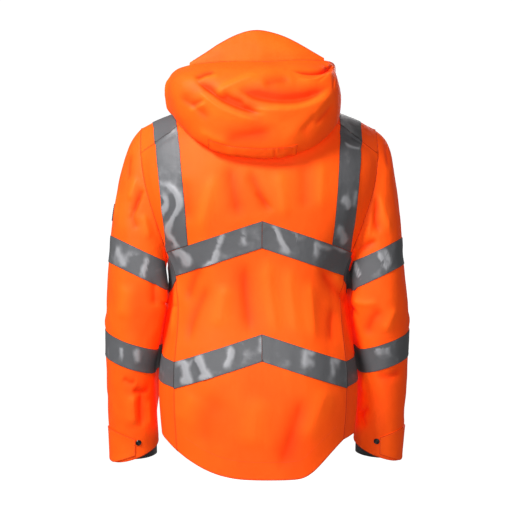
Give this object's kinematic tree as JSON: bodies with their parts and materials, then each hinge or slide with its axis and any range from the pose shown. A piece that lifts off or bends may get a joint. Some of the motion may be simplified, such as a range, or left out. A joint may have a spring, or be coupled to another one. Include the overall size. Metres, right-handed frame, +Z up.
{
  "type": "hooded hi-vis work jacket",
  "caption": "Hooded high-visibility work jacket in its worn form, with reflective tape on body, shoulders and sleeves, a front zip and a dropped back hem.",
  "frame": {"origin": "the middle of the neck opening, level with the neck seam at the nape, where the wearer holds it up", "axes": "+Z up along the wearer, +X towards the wearer's left, -Y out of the front"},
  "size_m": [0.6213, 0.3548, 0.8836],
  "materials": {
    "shell": "matte coated weave, fluorescent orange",
    "tape": "silver-grey retroreflective tape",
    "lining": "matte black",
    "metal": "satin black",
    "zip": "matte black"
  },
  "bodies": {
    "jacket": {"back": "shell", "band_lower_left": "tape", "band_lower_right": "tape", "band_upper_left": "tape", "band_upper_right": "tape", "brace_back_left": "tape", "brace_back_right": "tape", "brace_front_left": "tape", "brace_front_right": "tape", "chevron_lower_left": "tape", "chevron_lower_right": "tape", "chevron_upper_left": "tape", "chevron_upper_right": "tape", "collar": "shell", "cuff_inner_left": "lining", "cuff_inner_right": "lining", "cuff_strap_left": "shell", "cuff_strap_right": "shell", "front_left": "shell", "front_right": "shell", "hood": "shell", "hood_casing": "shell", "hood_visor": "shell", "sleeve_band_lower_left": "tape", "sleeve_band_lower_right": "tape", "sleeve_band_upper_left": "tape", "sleeve_band_upper_right": "tape", "sleeve_left": "shell", "sleeve_patch": "lining", "sleeve_right": "shell", "slider": "metal", "stud_left": "metal", "stud_right": "metal", "zip_chain": "zip", "zip_tape": "zip"},
    "pull": {"pull_tab": "metal"}
  },
  "joints": [
    {"name": "pull_tab_swing", "type": "hinge", "parent": "jacket", "child": "pull", "pos_m": [0, -0.089, -0.0386], "axis": [-1, 0, 0], "range_deg": [0, 150]}
  ]
}
